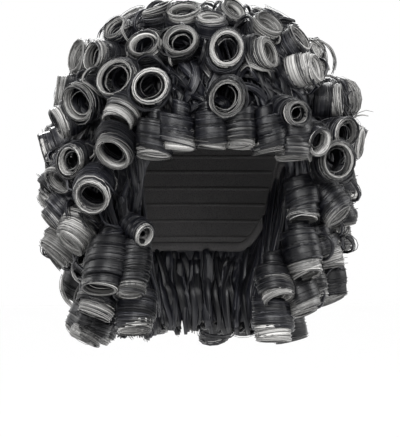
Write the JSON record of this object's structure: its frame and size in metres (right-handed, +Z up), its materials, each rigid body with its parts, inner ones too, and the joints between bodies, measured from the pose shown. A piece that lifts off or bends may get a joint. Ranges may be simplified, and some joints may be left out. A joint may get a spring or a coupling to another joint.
{
  "type": "afro wig",
  "caption": "Short afro wig of black barrel curls with silver ends and a curled fringe, on a net cap that is open at the face and below.",
  "frame": {"origin": "inside top of the cap, where the crown of the wearer's head sits", "axes": "+Z up, the face opening looks along -Y, +X to the right as seen from the front"},
  "size_m": [0.2983, 0.2991, 0.3167],
  "materials": {
    "net_cap": "black elastic net with sewn rows of wefts",
    "black_hair": "glossy synthetic fibre, near black",
    "silver_tipped_hair": "glossy synthetic fibre, black at the root and silver grey on the last turn"
  },
  "bodies": {
    "root": {"wig_cap": "net_cap", "hair_coat": "black_hair", "front_ringlet_1": "silver_tipped_hair", "front_ringlet_2": "silver_tipped_hair", "front_ringlet_3": "silver_tipped_hair", "front_ringlet_4": "silver_tipped_hair", "front_ringlet_5": "silver_tipped_hair", "front_ringlet_6": "silver_tipped_hair", "front_ringlet_7": "silver_tipped_hair", "crown_ringlet_1": "silver_tipped_hair", "crown_ringlet_2": "silver_tipped_hair", "crown_ringlet_3": "silver_tipped_hair", "crown_ringlet_4": "silver_tipped_hair", "crown_ringlet_5": "silver_tipped_hair", "left_ringlet_1": "silver_tipped_hair", "left_ringlet_2": "silver_tipped_hair", "left_ringlet_3": "silver_tipped_hair", "left_ringlet_4": "silver_tipped_hair", "left_ringlet_5": "silver_tipped_hair", "left_ringlet_6": "silver_tipped_hair", "left_ringlet_7": "silver_tipped_hair", "left_ringlet_8": "silver_tipped_hair", "left_ringlet_9": "silver_tipped_hair", "left_ringlet_10": "silver_tipped_hair", "left_ringlet_11": "silver_tipped_hair", "left_ringlet_12": "silver_tipped_hair", "left_ringlet_13": "silver_tipped_hair", "left_ringlet_14": "silver_tipped_hair", "left_ringlet_15": "silver_tipped_hair", "left_ringlet_16": "silver_tipped_hair", "left_ringlet_17": "silver_tipped_hair", "left_ringlet_18": "silver_tipped_hair", "left_ringlet_19": "silver_tipped_hair", "left_ringlet_20": "silver_tipped_hair", "right_ringlet_1": "silver_tipped_hair", "right_ringlet_2": "silver_tipped_hair", "right_ringlet_3": "silver_tipped_hair", "right_ringlet_4": "silver_tipped_hair", "right_ringlet_5": "silver_tipped_hair", "right_ringlet_6": "silver_tipped_hair", "right_ringlet_7": "silver_tipped_hair", "right_ringlet_8": "silver_tipped_hair", "right_ringlet_9": "silver_tipped_hair", "right_ringlet_10": "silver_tipped_hair", "right_ringlet_11": "silver_tipped_hair", "right_ringlet_12": "silver_tipped_hair", "right_ringlet_13": "silver_tipped_hair", "right_ringlet_14": "silver_tipped_hair", "right_ringlet_15": "silver_tipped_hair", "right_ringlet_16": "silver_tipped_hair", "right_ringlet_17": "silver_tipped_hair", "fringe_curl_1": "silver_tipped_hair", "fringe_curl_2": "silver_tipped_hair", "fringe_curl_3": "silver_tipped_hair", "fringe_curl_4": "silver_tipped_hair", "fringe_curl_5": "silver_tipped_hair", "fringe_curl_6": "silver_tipped_hair"}
  },
  "joints": []
}
